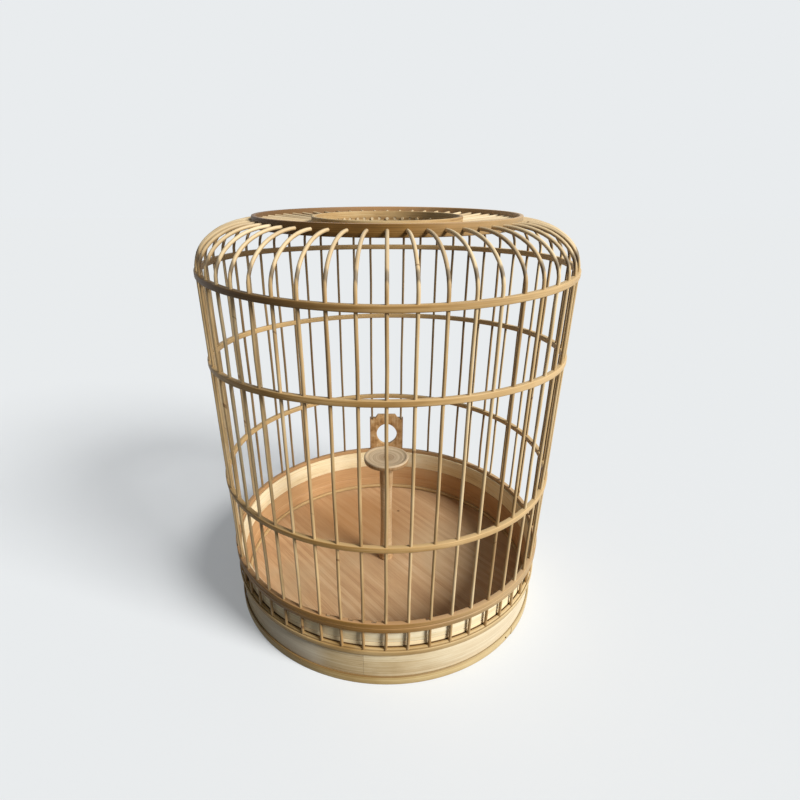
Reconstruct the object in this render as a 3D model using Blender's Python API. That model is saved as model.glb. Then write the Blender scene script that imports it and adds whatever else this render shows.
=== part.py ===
# Round, flat-topped bamboo lark cage, in metres, +Z up.
# The origin lies on the cage's axis at table level. The camera side of the cage is -Y,
# and azimuth is measured from -Y towards +X.
# Radii of rings are measured to the middle of a facet, so nested rings keep their gaps.

import math

import bmesh
import bpy
from mathutils import Vector

# Counts and angles
BAR_COUNT = 52
BARS_PER_PAIR = 2
GATE_BAR = BAR_COUNT // 2
BAR_SIDES = 6
SHOULDER_STEPS = 5
TURNED_STEPS = 24
PLATE_HOLE_STEPS = 24
MIDDLE_HOOP_LEAN = math.radians(2.94)
MIDDLE_HOOP_ROLL = math.radians(0.5)
BAND_SEAM_FACETS = -1.5
FOOT_SEAM_FACETS = 7.5
FOOT_PIN_FACETS = 6.76

# Gaps
GAP = 0.0003
LIFT_GAP = 0.0007
SEAM_GAP = 0.0004
CUT_OVERRUN = 0.002

# Bars
BAR_CIRCLE_RADIUS = 0.163
BAR_WIDTH = 0.003
BAR_TENON = 0.001

# Hoops that the bars pass through
HOOP_WIDTH = 0.0048
HOOP_HEIGHT = 0.005
GROOVE_DEPTH = 0.0006
GROOVE_WIDTH = 0.0012
BOTTOM_HOOP_HEIGHT = 0.01
BOTTOM_HOOP_STRIPS = 2
SHOULDER_HOOP_WARP = 0.0022

# Heights of the open bays between the hoops
SHORT_BAR_BAY = 0.021
LOWER_BAY = 0.0765
MIDDLE_BAY = 0.111
UPPER_BAY = 0.0696
SHOULDER_RISE = 0.0342

# Base tray
BAND_HEIGHT = 0.0372
BAND_WALL = 0.0022
FOOT_HEIGHT = 0.0095
FOOT_WALL = 0.0019
SPIGOT_WALL = 0.0023
SPIGOT_RISE = 0.0113
SPIGOT_GROOVE_HEIGHT = 0.0305
UNDERFLOOR_HEIGHT = 0.005
LEDGE_HEIGHT = 0.0057
LEDGE_WIDTH = 0.0057
FLOOR_THICKNESS = 0.004
FLOOR_BEAD_HEIGHT = 0.004
FLOOR_BEAD_WIDTH = 0.0028
BATTEN_WIDTH = 0.018
BATTEN_OFFSET = 0.05
FOOT_PIN_RADIUS = 0.0009
FOOT_PIN_PROUD = 0.0004

# Sill under the bars and the sand liner behind them
SILL_RAIL_WIDTH = 0.0026
SILL_RAIL_HEIGHT = 0.0065
SILL_BEAD_WALL = 0.0015
SILL_BEAD_DROP = 0.0015
LINER_WALL = 0.002
LINER_HEIGHT = 0.021
LINER_CLEARANCE = 0.0015

# Flat top
RIM_RADIUS = 0.1148
RIM_WALL = 0.0035
RIM_HEIGHT = 0.009
SPOKE_DROP = 0.0038
SPOKE_END_STUB = 0.0014
COLLAR_RADIUS = 0.0622
COLLAR_WALL = 0.003
COLLAR_SKIRT = 0.0037
COLLAR_DROP = 0.0016

# Sliding gate plate
PLATE_THICKNESS = 0.005
PLATE_EDGE = 0.0029
PLATE_SHOULDER_HEIGHT = 0.0475
PLATE_STEP_HEIGHT = 0.0046
PLATE_STEP_TOP_WIDTH = 0.0238
PLATE_STEP_BASE_WIDTH = 0.0298
PLATE_HOLE_RADIUS = 0.0142
PLATE_HOLE_HEIGHT = 0.0232

# Standing perch
PERCH_HEIGHT = 0.1347
PERCH_DISC_RADIUS = 0.0238
PERCH_DISC_THICKNESS = 0.0058
PERCH_DISH_DEPTH = 0.0015
PERCH_POST_RADIUS = 0.0072
PERCH_WAIST_RADIUS = 0.0063
PERCH_FOOT_RADIUS = 0.008
PERCH_TENON_RADIUS = 0.0026
PERCH_PEG_RADIUS = 0.004
PERCH_PEG_LENGTH = 0.008

# Shares of the turned outlines: (share of the radius, share of the height)
DISC_UNDERSIDE_SHARES = ((0.45, 0.0), (0.78, 0.08), (0.95, 0.36))
DISC_RIM_SHARES = ((1.0, 0.6), (1.0, 0.86), (0.96, 1.0), (0.86, 1.0))
POST_HEIGHT_SHARES = (0.0, 0.1, 0.45, 0.72, 0.82, 0.92, 1.0)
POST_SWELL_SHARES = (1.0, 0.45, 0.0, 0.35, 1.0, 0.8, 0.5)

# Derived angles and heights
PITCH = 2 * math.pi / BAR_COUNT
FACET = math.cos(PITCH / 2)
PAIR_COUNT = BAR_COUNT // BARS_PER_PAIR
SILL_BASE = BAND_HEIGHT + GAP
SILL_TOP = SILL_BASE + SILL_RAIL_HEIGHT
BOTTOM_HOOP_BASE = SILL_TOP + SHORT_BAR_BAY
BOTTOM_HOOP_TOP = BOTTOM_HOOP_BASE + BOTTOM_HOOP_HEIGHT
LOWER_HOOP_BASE = BOTTOM_HOOP_TOP + LOWER_BAY
MIDDLE_HOOP_BASE = LOWER_HOOP_BASE + HOOP_HEIGHT + MIDDLE_BAY
SHOULDER_HOOP_BASE = MIDDLE_HOOP_BASE + HOOP_HEIGHT + UPPER_BAY
SHOULDER_START = SHOULDER_HOOP_BASE + HOOP_HEIGHT + SHOULDER_HOOP_WARP
BAR_END_HEIGHT = SHOULDER_START + SHOULDER_RISE
RIM_BASE = BAR_END_HEIGHT - RIM_HEIGHT / 2
RIM_TOP = BAR_END_HEIGHT + RIM_HEIGHT / 2
SPOKE_END_HEIGHT = BAR_END_HEIGHT - SPOKE_DROP
COLLAR_BASE = SPOKE_END_HEIGHT - COLLAR_SKIRT
COLLAR_TOP = RIM_TOP - COLLAR_DROP
FLOOR_BASE = UNDERFLOOR_HEIGHT + LEDGE_HEIGHT + GAP
FLOOR_TOP = FLOOR_BASE + FLOOR_THICKNESS
SPIGOT_TOP = BAND_HEIGHT + SPIGOT_RISE

# Derived radii
BAR_RADIUS = BAR_WIDTH / 2
BAR_HOLE_RADIUS = BAR_RADIUS + GAP / math.cos(math.pi / BAR_SIDES)
HOOP_INNER = BAR_CIRCLE_RADIUS - HOOP_WIDTH / 2
HOOP_OUTER = BAR_CIRCLE_RADIUS + HOOP_WIDTH / 2
SPIGOT_OUTER = HOOP_INNER - GAP
SPIGOT_INNER = SPIGOT_OUTER - SPIGOT_WALL
BAND_INNER = SPIGOT_OUTER + GAP
BAND_OUTER = BAND_INNER + BAND_WALL
FOOT_INNER = BAND_OUTER + GAP
FOOT_OUTER = FOOT_INNER + FOOT_WALL
RAIL_INNER = SPIGOT_OUTER + LIFT_GAP
RAIL_OUTER = RAIL_INNER + SILL_RAIL_WIDTH
BEAD_INNER = RAIL_OUTER + GAP
BEAD_OUTER = BEAD_INNER + SILL_BEAD_WALL
FLOOR_OUTER = SPIGOT_INNER - GAP
LEDGE_INNER = FLOOR_OUTER - LEDGE_WIDTH
RIM_INNER = RIM_RADIUS - RIM_WALL
COLLAR_OUTER = COLLAR_RADIUS + COLLAR_WALL
FLUSH_SPOKE_END = COLLAR_RADIUS + GAP
PROUD_SPOKE_END = COLLAR_RADIUS - SPOKE_END_STUB
PEG_HOLE_RADIUS = (PERCH_PEG_RADIUS + GAP) / FACET
TENON_HOLE_RADIUS = (PERCH_TENON_RADIUS + GAP) / math.cos(math.pi / TURNED_STEPS)


def clear_scene():
    for old in list(bpy.data.objects):
        bpy.data.objects.remove(old, do_unlink=True)


def make_material(name, color, roughness):
    material = bpy.data.materials.new(name)
    material.use_nodes = True
    shader = material.node_tree.nodes["Principled BSDF"]
    shader.inputs["Base Color"].default_value = (*color, 1.0)
    shader.inputs["Roughness"].default_value = roughness
    shader.inputs["Metallic"].default_value = 0.0
    material.diffuse_color = (*color, 1.0)
    return material


def make_body(name, height=0.0, parent=None):
    empty = bpy.data.objects.new(name, None)
    bpy.context.collection.objects.link(empty)
    empty.parent = parent
    empty.location.z = height - (parent.matrix_world.translation.z if parent else 0.0)
    bpy.context.view_layer.update()
    return empty


def place(name, mesh, material, body, turn=0.0, smooth_angle=math.radians(30)):
    """Puts a mesh that is modelled in world coordinates under its body's empty."""
    piece = bpy.data.objects.new(name, mesh)
    bpy.context.collection.objects.link(piece)
    if not mesh.materials:
        mesh.materials.append(material)
    mesh.shade_smooth()
    mesh.set_sharp_from_angle(angle=smooth_angle)
    piece.parent = body
    piece.location = -body.matrix_world.translation
    piece.rotation_euler.z = turn
    return piece


def finished_mesh(name, bm):
    mesh = bpy.data.meshes.new(name)
    bm.normal_update()
    bm.to_mesh(mesh)
    bm.free()
    return mesh


def polar(radius, azimuth, height):
    return Vector((radius * math.sin(azimuth), -radius * math.cos(azimuth), height))


def ring_mesh(name, profile, seam_facets=None):
    """Sweeps a closed outline of (radius, height), counter-clockwise with the radius to the right.

    With a seam it is a bent strip whose two ends meet there.
    """
    bm = bmesh.new()
    columns = []
    for step in range(BAR_COUNT + (seam_facets is not None)):
        azimuth = (step + (0.5 if seam_facets is None else seam_facets)) * PITCH
        loop = []
        for radius, height in profile:
            shift = 0.0
            if seam_facets is not None and step in (0, BAR_COUNT):
                shift = (SEAM_GAP / 2 if step == 0 else -SEAM_GAP / 2) / radius
            loop.append(bm.verts.new(polar(radius / FACET, azimuth + shift, height)))
        columns.append(loop)
    pairs = list(zip(columns, columns[1:]))
    if seam_facets is None:
        pairs.append((columns[-1], columns[0]))
    count = len(profile)
    for near, far in pairs:
        for i in range(count):
            j = (i + 1) % count
            bm.faces.new((near[i], far[i], far[j], near[j]))
    if seam_facets is not None:
        bm.faces.new(columns[0])
        bm.faces.new(list(reversed(columns[-1])))
    return finished_mesh(name, bm)


def band_profile(inner, outer, base, top):
    return [(inner, base), (outer, base), (outer, top), (inner, top)]


def turned_mesh(name, outline, steps=TURNED_STEPS):
    """Turns an outline of (radius, height) that rises from base to top about the cage's axis."""
    bm = bmesh.new()
    closed = outline[0][0] > 0
    rings = []
    for radius, height in outline:
        if radius == 0:
            rings.append([bm.verts.new((0, 0, height))])
        else:
            angles = [2 * math.pi * i / steps for i in range(steps)]
            rings.append([bm.verts.new(polar(radius, angle, height)) for angle in angles])
    spans = list(zip(rings, rings[1:]))
    if closed:
        spans.append((rings[-1], rings[0]))
    for low, high in spans:
        for i in range(steps):
            j = (i + 1) % steps
            corners = [low[i % len(low)], low[j % len(low)], high[j % len(high)], high[i % len(high)]]
            bm.faces.new(list(dict.fromkeys(corners)))
    return finished_mesh(name, bm)


def hexagon(centre, side_axis, up_axis, radius):
    """Corners counter-clockwise from the side axis towards the up axis."""
    corners = []
    for i in range(BAR_SIDES):
        angle = 2 * math.pi * i / BAR_SIDES
        corners.append(centre + side_axis * math.cos(angle) * radius + up_axis * math.sin(angle) * radius)
    return corners


def holed_cell(bm, left, right, hole):
    """Fills a four-cornered cell round a hexagonal hole.

    left and right are the cell's (far, near) corner vertices, hole its six vertices from the
    right-hand one, turning by way of the far side.
    """
    far_left, near_left = left
    far_right, near_right = right
    bm.faces.new((far_left, hole[3], hole[2], hole[1], hole[0], far_right))
    bm.faces.new((near_right, hole[0], hole[5], hole[4], hole[3], near_left))
    bm.faces.new((far_left, near_left, hole[3]))
    bm.faces.new((far_right, hole[0], near_right))


def hole_wall(bm, first, second):
    for i in range(BAR_SIDES):
        j = (i + 1) % BAR_SIDES
        bm.faces.new((first[i], first[j], second[j], second[i]))


def recalculated_mesh(name, bm):
    bmesh.ops.recalc_face_normals(bm, faces=bm.faces)
    return finished_mesh(name, bm)


def drilled_hoop_mesh(name, base, height, strips, lean=0.0, roll=0.0, warp=0.0):
    """A hoop drilled for every bar, with a groove on its outer face between its strips.

    It can lean to the front, roll to one side, and warp: low at front and back, high at the sides.
    """
    outer = [(HOOP_OUTER, base)]
    for i in range(1, strips):
        middle = base + height * i / strips
        outer.append((HOOP_OUTER, middle - GROOVE_WIDTH / 2))
        outer.append((HOOP_OUTER - GROOVE_DEPTH, middle))
        outer.append((HOOP_OUTER, middle + GROOVE_WIDTH / 2))
    outer.append((HOOP_OUTER, base + height))
    inner = [(HOOP_INNER, base), (HOOP_INNER, base + height)]
    bm = bmesh.new()
    outer_columns, inner_columns = [], []
    for step in range(BAR_COUNT):
        azimuth = (step - 0.5) * PITCH
        outer_columns.append([bm.verts.new(polar(r / FACET, azimuth, z)) for r, z in outer])
        inner_columns.append([bm.verts.new(polar(r / FACET, azimuth, z)) for r, z in inner])
    for step in range(BAR_COUNT):
        left_out, right_out = outer_columns[step], outer_columns[(step + 1) % BAR_COUNT]
        left_in, right_in = inner_columns[step], inner_columns[(step + 1) % BAR_COUNT]
        azimuth = step * PITCH
        side_axis = polar(1.0, azimuth + math.pi / 2, 0.0)
        out_axis = polar(1.0, azimuth, 0.0)
        rims = []
        for end, level in ((0, base), (-1, base + height)):
            centre = polar(BAR_CIRCLE_RADIUS, azimuth, level)
            corners = hexagon(centre, side_axis, out_axis, BAR_HOLE_RADIUS)
            hole = [bm.verts.new(corner) for corner in corners]
            holed_cell(bm, (left_out[end], left_in[end]), (right_out[end], right_in[end]), hole)
            rims.append(hole)
        hole_wall(bm, *rims)
        for i in range(len(outer) - 1):
            bm.faces.new((left_out[i], right_out[i], right_out[i + 1], left_out[i + 1]))
        bm.faces.new((left_in[0], left_in[1], right_in[1], right_in[0]))
    for vert in bm.verts:
        x, y = vert.co.x, vert.co.y
        vert.co.z += math.tan(roll) * x - math.tan(lean) * y
        vert.co.z -= warp * (y**2 - x**2) / (x**2 + y**2)
    return recalculated_mesh(name, bm)


def drilled_band_mesh(name, inner, outer, base, top, hole_height):
    """An upright band drilled through from outside, opposite every bar."""
    outline = band_profile(inner, outer, base, top)
    drilled_spans = {1: outer, 3: inner}
    bm = bmesh.new()
    columns = []
    for step in range(BAR_COUNT):
        azimuth = (step - 0.5) * PITCH
        columns.append([bm.verts.new(polar(r / FACET, azimuth, z)) for r, z in outline])
    count = len(outline)
    for step in range(BAR_COUNT):
        left, right = columns[step], columns[(step + 1) % BAR_COUNT]
        azimuth = step * PITCH
        side_axis = polar(1.0, azimuth + math.pi / 2, 0.0)
        rims = []
        for i in range(count):
            j = (i + 1) % count
            if i not in drilled_spans:
                bm.faces.new((left[i], right[i], right[j], left[j]))
                continue
            centre = polar(drilled_spans[i], azimuth, hole_height)
            corners = hexagon(centre, side_axis, Vector((0, 0, 1)), BAR_HOLE_RADIUS)
            hole = [bm.verts.new(corner) for corner in corners]
            high, low = (j, i) if outline[j][1] > outline[i][1] else (i, j)
            holed_cell(bm, (left[high], left[low]), (right[high], right[low]), hole)
            rims.append(hole)
        hole_wall(bm, *rims)
    return recalculated_mesh(name, bm)


def bar_path(base, end_radius):
    """Points (radius, height) of a bar's centre line: up, over the shoulder, through the rim and on
    as a spoke into the collar.
    """
    path = [(BAR_CIRCLE_RADIUS, base)]
    reach = BAR_CIRCLE_RADIUS - RIM_RADIUS
    for step in range(SHOULDER_STEPS + 1):
        angle = math.pi / 2 * step / SHOULDER_STEPS
        radius = RIM_RADIUS + reach * math.cos(angle)
        path.append((radius, SHOULDER_START + SHOULDER_RISE * math.sin(angle)))
    path.append((RIM_INNER, BAR_END_HEIGHT))
    path.append((COLLAR_OUTER, SPOKE_END_HEIGHT))
    path.append((end_radius, SPOKE_END_HEIGHT))
    return path


def bar_bmesh(bm, path, azimuth):
    """Adds one hexagonal bar along a path in its own radial plane."""
    side_axis = polar(1.0, azimuth + math.pi / 2, 0.0)
    points = [polar(radius, azimuth, height) for radius, height in path]
    loops = []
    for i, point in enumerate(points):
        before = points[max(i - 1, 0)]
        after = points[min(i + 1, len(points) - 1)]
        along = (after - before).normalized()
        if i not in (0, len(points) - 1):
            along = ((point - before).normalized() + (after - point).normalized()).normalized()
        out_axis = side_axis.cross(along)
        loops.append([bm.verts.new(c) for c in hexagon(point, side_axis, out_axis, BAR_RADIUS)])
    for low, high in zip(loops, loops[1:]):
        hole_wall(bm, low, high)
    bm.faces.new(loops[0])
    bm.faces.new(list(reversed(loops[-1])))


def bar_mesh(name, path, azimuth):
    bm = bmesh.new()
    bar_bmesh(bm, path, azimuth)
    return recalculated_mesh(name, bm)


def rail_mesh(name):
    """The stretch of sill rail that carries one pair of bars."""
    bm = bmesh.new()
    gap_turn = GAP / 2 / BAR_CIRCLE_RADIUS
    azimuths = [-PITCH / 2 + gap_turn, PITCH / 2, 3 * PITCH / 2 - gap_turn]
    profile = band_profile(RAIL_INNER, RAIL_OUTER, SILL_BASE, SILL_TOP)
    columns = [[bm.verts.new(polar(r / FACET, a, z)) for r, z in profile] for a in azimuths]
    for near, far in zip(columns, columns[1:]):
        for i in range(len(profile)):
            j = (i + 1) % len(profile)
            bm.faces.new((near[i], far[i], far[j], near[j]))
    bm.faces.new(columns[0])
    bm.faces.new(list(reversed(columns[-1])))
    return recalculated_mesh(name, bm)


def united_mesh(name, meshes):
    """Joins overlapping closed meshes into one closed body."""
    helpers = []
    for i, mesh in enumerate(meshes):
        helper = bpy.data.objects.new(f"{name}_helper_{i}", mesh)
        bpy.context.collection.objects.link(helper)
        helpers.append(helper)
    for other in helpers[1:]:
        union = helpers[0].modifiers.new("join", "BOOLEAN")
        union.operation = "UNION"
        union.solver = "EXACT"
        union.object = other
    graph = bpy.context.evaluated_depsgraph_get()
    united = bpy.data.meshes.new_from_object(helpers[0].evaluated_get(graph))
    united.name = name
    for helper in helpers:
        bpy.data.objects.remove(helper, do_unlink=True)
    return united


def make_cutter(name, mesh, body):
    cutter = bpy.data.objects.new(name, mesh)
    bpy.context.collection.objects.link(cutter)
    cutter.parent = body
    cutter.location = -body.matrix_world.translation
    cutter.hide_render = True
    cutter.display_type = "WIRE"
    return cutter


def cut(piece, cutter):
    boolean = piece.modifiers.new("cut", "BOOLEAN")
    boolean.operation = "DIFFERENCE"
    boolean.solver = "EXACT"
    boolean.object = cutter


def prism_mesh(name, outline, start, depth):
    """Extrudes a closed outline of points by a depth vector from a start point."""
    bm = bmesh.new()
    low = [bm.verts.new(start + corner) for corner in outline]
    high = [bm.verts.new(start + corner + depth) for corner in outline]
    for i in range(len(outline)):
        j = (i + 1) % len(outline)
        bm.faces.new((low[i], low[j], high[j], high[i]))
    bm.faces.new(low)
    bm.faces.new(list(reversed(high)))
    return recalculated_mesh(name, bm)


def circle_outline(radius, steps, first_axis, second_axis):
    corners = []
    for i in range(steps):
        angle = 2 * math.pi * i / steps
        corners.append(first_axis * math.cos(angle) * radius + second_axis * math.sin(angle) * radius)
    return corners


def build_tray(tray, finishes):
    band = band_profile(BAND_INNER, BAND_OUTER, 0.0, BAND_HEIGHT)
    place("base_band", ring_mesh("base_band", band, BAND_SEAM_FACETS), finishes["pale"], tray)

    foot = band_profile(FOOT_INNER, FOOT_OUTER, 0.0, FOOT_HEIGHT)
    foot_ring = place("foot_ring", ring_mesh("foot_ring", foot, FOOT_SEAM_FACETS), finishes["honey"], tray)
    build_foot_pin(foot_ring, tray, finishes)

    groove_low = SPIGOT_GROOVE_HEIGHT - GROOVE_WIDTH / 2
    groove_high = SPIGOT_GROOVE_HEIGHT + GROOVE_WIDTH / 2
    spigot = band_profile(SPIGOT_INNER, SPIGOT_OUTER, UNDERFLOOR_HEIGHT, SPIGOT_TOP)
    spigot += [
        (SPIGOT_INNER, groove_high),
        (SPIGOT_INNER + GROOVE_DEPTH, SPIGOT_GROOVE_HEIGHT),
        (SPIGOT_INNER, groove_low),
    ]
    place("inner_band", ring_mesh("inner_band", spigot), finishes["tan"], tray)

    ledge = band_profile(LEDGE_INNER, FLOOR_OUTER, UNDERFLOOR_HEIGHT, UNDERFLOOR_HEIGHT + LEDGE_HEIGHT)
    place("floor_ledge", ring_mesh("floor_ledge", ledge), finishes["tan"], tray)

    floor = band_profile(PEG_HOLE_RADIUS * FACET, FLOOR_OUTER, FLOOR_BASE, FLOOR_TOP)
    place("floor_board", ring_mesh("floor_board", floor), finishes["floor"], tray)

    bead_base = FLOOR_TOP + GAP
    bead_inner = FLOOR_OUTER - FLOOR_BEAD_WIDTH
    bead = band_profile(bead_inner, FLOOR_OUTER, bead_base, bead_base + FLOOR_BEAD_HEIGHT)
    place("floor_bead", ring_mesh("floor_bead", bead), finishes["pale"], tray)
    build_battens(tray, finishes)


def build_battens(tray, finishes):
    far_edge = BATTEN_OFFSET + BATTEN_WIDTH / 2
    half_length = math.sqrt((LEDGE_INNER - GAP) ** 2 - far_edge ** 2)
    for name, side in (("floor_batten_front", -1), ("floor_batten_back", 1)):
        outline = [
            Vector((-half_length, -BATTEN_WIDTH / 2, 0)), Vector((half_length, -BATTEN_WIDTH / 2, 0)),
            Vector((half_length, BATTEN_WIDTH / 2, 0)), Vector((-half_length, BATTEN_WIDTH / 2, 0)),
        ]
        start = Vector((0, side * BATTEN_OFFSET, UNDERFLOOR_HEIGHT))
        mesh = prism_mesh(name, outline, start, Vector((0, 0, LEDGE_HEIGHT)))
        place(name, mesh, finishes["tan"], tray)


def build_foot_pin(foot_ring, tray, finishes):
    """The small pin that holds the end of the foot strip."""
    azimuth = FOOT_PIN_FACETS * PITCH
    out_axis = polar(1.0, azimuth, 0.0)
    side_axis = polar(1.0, azimuth + math.pi / 2, 0.0)
    start = polar(FOOT_INNER, azimuth, FOOT_HEIGHT / 2)
    up_axis = Vector((0, 0, 1))
    shank = circle_outline(FOOT_PIN_RADIUS, BAR_SIDES, side_axis, up_axis)
    pin = prism_mesh("foot_pin", shank, start, out_axis * (FOOT_WALL + FOOT_PIN_PROUD))
    place("foot_pin", pin, finishes["dark"], tray)
    bore = circle_outline(FOOT_PIN_RADIUS + 2 * GAP, BAR_SIDES, side_axis, up_axis)
    reach = out_axis * (FOOT_WALL + 2 * CUT_OVERRUN)
    cutter = prism_mesh("foot_pin_bore", bore, start - out_axis * CUT_OVERRUN, reach)
    cut(foot_ring, make_cutter("foot_pin_bore", cutter, tray))


def build_cage(cage, finishes):
    bead_top = SILL_TOP - SILL_BEAD_DROP
    bead = band_profile(BEAD_INNER, BEAD_OUTER, SILL_BASE, bead_top)
    place("sill_bead", ring_mesh("sill_bead", bead), finishes["honey"], cage)

    liner_base = SPIGOT_TOP + LINER_CLEARANCE
    liner = band_profile(SPIGOT_OUTER - LINER_WALL, SPIGOT_OUTER, liner_base, liner_base + LINER_HEIGHT)
    place("sand_liner", ring_mesh("sand_liner", liner), finishes["pale"], cage)

    hoops = (
        ("bottom_hoop", BOTTOM_HOOP_BASE, BOTTOM_HOOP_HEIGHT, BOTTOM_HOOP_STRIPS, 0.0, 0.0, 0.0),
        ("lower_hoop", LOWER_HOOP_BASE, HOOP_HEIGHT, 1, 0.0, 0.0, 0.0),
        ("middle_hoop", MIDDLE_HOOP_BASE, HOOP_HEIGHT, 1, MIDDLE_HOOP_LEAN, MIDDLE_HOOP_ROLL, 0.0),
        ("shoulder_hoop", SHOULDER_HOOP_BASE, HOOP_HEIGHT, 1, 0.0, 0.0, SHOULDER_HOOP_WARP),
    )
    for name, base, height, strips, lean, roll, warp in hoops:
        mesh = drilled_hoop_mesh(name, base, height, strips, lean, roll, warp)
        place(name, mesh, finishes["honey"], cage)
    build_bars(cage, finishes)
    build_top(cage, finishes)


def build_bars(cage, finishes):
    """Pairs of bars, each pair pegged into its own stretch of sill rail.

    The first bar of a pair ends proud of the collar's inner face, and the second ends flush with it.
    """
    foot = SILL_TOP - BAR_TENON
    proud_bar = bar_mesh("proud_bar", bar_path(foot, PROUD_SPOKE_END), 0.0)
    flush_bar = bar_mesh("flush_bar", bar_path(foot, FLUSH_SPOKE_END), PITCH)
    pair_mesh = united_mesh("bar_pair", [rail_mesh("rail"), proud_bar, flush_bar])
    short_path = [(BAR_CIRCLE_RADIUS, foot), (BAR_CIRCLE_RADIUS, BOTTOM_HOOP_TOP - GAP)]
    short_bar = bar_mesh("short_bar", short_path, 0.0)
    gate_side_bar = bar_mesh("gate_side_bar", bar_path(foot, FLUSH_SPOKE_END), PITCH)
    gate_pair_mesh = united_mesh("gate_pair", [rail_mesh("gate_rail"), short_bar, gate_side_bar])
    for i in range(PAIR_COUNT):
        first_bar = i * BARS_PER_PAIR
        mesh = gate_pair_mesh if first_bar == GATE_BAR else pair_mesh
        place(f"bar_pair_{i + 1:02d}", mesh, finishes["bar"], cage, turn=first_bar * PITCH)

    upper_path = bar_path(LOWER_HOOP_BASE + GAP, PROUD_SPOKE_END)
    upper_mesh = bar_mesh("gate_upper_bar", upper_path, 0.0)
    place("gate_upper_bar", upper_mesh, finishes["bar"], cage, turn=GATE_BAR * PITCH)


def build_top(cage, finishes):
    rim = drilled_band_mesh("top_rim", RIM_INNER, RIM_RADIUS, RIM_BASE, RIM_TOP, BAR_END_HEIGHT)
    place("top_rim", rim, finishes["honey"], cage)
    collar_span = (COLLAR_RADIUS, COLLAR_OUTER, COLLAR_BASE, COLLAR_TOP)
    collar = drilled_band_mesh("top_collar", *collar_span, SPOKE_END_HEIGHT)
    place("top_collar", collar, finishes["tan"], cage)


def build_gate(gate, finishes):
    """The plate with a round drinking hole, which slides up on the bars at its two edges."""
    bar_offset = BAR_CIRCLE_RADIUS * math.sin(PITCH)
    bar_depth = BAR_CIRCLE_RADIUS * math.cos(PITCH)
    half_width = bar_offset + PLATE_EDGE
    base = BOTTOM_HOOP_TOP + GAP
    shoulder = base + PLATE_SHOULDER_HEIGHT
    top = shoulder + PLATE_STEP_HEIGHT
    outline = [
        (-half_width, base), (half_width, base), (half_width, shoulder),
        (PLATE_STEP_BASE_WIDTH / 2, shoulder), (PLATE_STEP_TOP_WIDTH / 2, top),
        (-PLATE_STEP_TOP_WIDTH / 2, top), (-PLATE_STEP_BASE_WIDTH / 2, shoulder), (-half_width, shoulder),
    ]
    corners = [Vector((x, 0, z)) for x, z in outline]
    start = Vector((0, bar_depth - PLATE_THICKNESS / 2, 0))
    mesh = prism_mesh("gate_plate", corners, start, Vector((0, PLATE_THICKNESS, 0)))
    plate = place("gate_plate", mesh, finishes["tan"], gate)

    x_axis, y_axis, z_axis = Vector((1, 0, 0)), Vector((0, 1, 0)), Vector((0, 0, 1))
    hole = circle_outline(PLATE_HOLE_RADIUS, PLATE_HOLE_STEPS, x_axis, z_axis)
    hole_start = Vector((0, bar_depth - PLATE_THICKNESS / 2 - CUT_OVERRUN, base + PLATE_HOLE_HEIGHT))
    reach = y_axis * (PLATE_THICKNESS + 2 * CUT_OVERRUN)
    cut(plate, make_cutter("gate_hole", prism_mesh("gate_hole", hole, hole_start, reach), gate))
    for name, side in (("gate_runner_left", -1), ("gate_runner_right", 1)):
        azimuth = math.pi - side * PITCH
        side_axis = polar(1.0, azimuth + math.pi / 2, 0.0)
        out_axis = polar(1.0, azimuth, 0.0)
        channel = circle_outline(BAR_HOLE_RADIUS, BAR_SIDES, side_axis, out_axis)
        channel_start = polar(BAR_CIRCLE_RADIUS, azimuth, base - CUT_OVERRUN)
        reach = z_axis * (top - base + 2 * CUT_OVERRUN)
        cut(plate, make_cutter(name, prism_mesh(name, channel, channel_start, reach), gate))


def build_perch(perch, finishes):
    """The turned perch that stands on the floor with a peg through it."""
    foot_level = FLOOR_TOP + GAP
    disc_top = foot_level + PERCH_HEIGHT
    disc_base = disc_top - PERCH_DISC_THICKNESS
    dish_level = disc_top - PERCH_DISH_DEPTH
    outline = [(TENON_HOLE_RADIUS, disc_base)]
    for radius_share, height_share in DISC_UNDERSIDE_SHARES + DISC_RIM_SHARES:
        outline.append((PERCH_DISC_RADIUS * radius_share, disc_base + PERCH_DISC_THICKNESS * height_share))
    outline.append((PERCH_DISC_RADIUS * DISC_UNDERSIDE_SHARES[1][0], dish_level))
    outline.append((TENON_HOLE_RADIUS, dish_level))
    place("perch_disc", turned_mesh("perch_disc", outline), finishes["perch"], perch)

    post_top = disc_base - GAP
    outline = [(0, foot_level - PERCH_PEG_LENGTH), (PERCH_PEG_RADIUS, foot_level - PERCH_PEG_LENGTH)]
    outline.append((PERCH_PEG_RADIUS, foot_level))
    for height_share, swell_share in zip(POST_HEIGHT_SHARES, POST_SWELL_SHARES):
        widest = PERCH_FOOT_RADIUS if height_share < 0.5 else PERCH_POST_RADIUS
        radius = PERCH_WAIST_RADIUS + (widest - PERCH_WAIST_RADIUS) * swell_share
        outline.append((radius, foot_level + (post_top - foot_level) * height_share))
    tenon_top = dish_level - GAP
    outline += [(PERCH_TENON_RADIUS, post_top), (PERCH_TENON_RADIUS, tenon_top), (0, tenon_top)]
    place("perch_post", turned_mesh("perch_post", outline), finishes["perch"], perch)


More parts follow.
